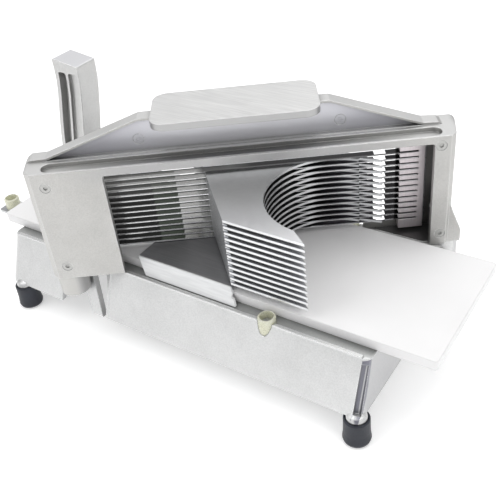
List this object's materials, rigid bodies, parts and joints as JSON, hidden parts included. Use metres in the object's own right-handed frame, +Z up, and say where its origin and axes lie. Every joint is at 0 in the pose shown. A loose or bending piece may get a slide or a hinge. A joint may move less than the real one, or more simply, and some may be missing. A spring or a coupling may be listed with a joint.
{
  "type": "manual vegetable slicer",
  "caption": "Bench-top push slicer: cast base with rubber feet and a plastic board, an angled housing of level blades, and a sliding finned pusher with an upright handle.",
  "frame": {"origin": "bottom centre of the whole object's bounding box, on the bench, with the pusher in its rest place", "axes": "+Z up, +X the cutting direction the pusher moves in, +Y to its left"},
  "size_m": [0.547, 0.2616, 0.2632],
  "materials": {
    "cast_base": "bead-blasted casting",
    "cast_housing": "bead-blasted casting with polished edges",
    "cast_grip": "lightly brushed",
    "cast_handle": "bead-blasted casting",
    "cast_screw": "satin",
    "comb_metal": "machined satin",
    "carriage_metal": "brushed",
    "rail_metal": "polished",
    "holder_metal": "machined satin",
    "blade_steel": "polished stainless",
    "fastener_steel": "plain stainless",
    "bracket_steel": "sheared stainless sheet",
    "board_plastic": "lightly textured white plastic",
    "pad_plastic": "smooth white plastic",
    "bumper_plastic": "translucent yellow-green",
    "rubber": "moulded rubber"
  },
  "bodies": {
    "base_frame": {"base_casting": "cast_base", "rubber_feet": "rubber", "foot_screws": "fastener_steel", "cutting_board": "board_plastic", "board_screws": "fastener_steel", "stop_bumpers": "bumper_plastic", "bumper_screws": "fastener_steel", "stop_brackets": "bracket_steel", "bracket_rivets": "fastener_steel", "blade_housing": "cast_housing", "housing_screws": "cast_screw", "web_screws": "cast_screw", "housing_bolts": "fastener_steel", "housing_washers": "fastener_steel", "blade_holder_left": "holder_metal", "blade_holder_right": "holder_metal", "holder_screws": "fastener_steel", "slicing_blades": "blade_steel", "blade_pins": "fastener_steel", "grip_plate": "cast_grip", "grip_screws": "fastener_steel"},
    "pusher": {"carriage": "carriage_metal", "side_rails": "rail_metal", "slide_pads": "pad_plastic", "guide_strips": "pad_plastic", "pusher_comb": "comb_metal", "comb_screws": "fastener_steel", "handle_bracket": "cast_handle", "bracket_screws": "fastener_steel", "arm_screws": "fastener_steel", "handle": "cast_handle", "handle_screws": "fastener_steel"}
  },
  "joints": [
    {"name": "pusher_slide", "type": "slide", "parent": "base_frame", "child": "pusher", "axis": [1, 0, 0], "range_m": [-0.16, 0.025]}
  ]
}
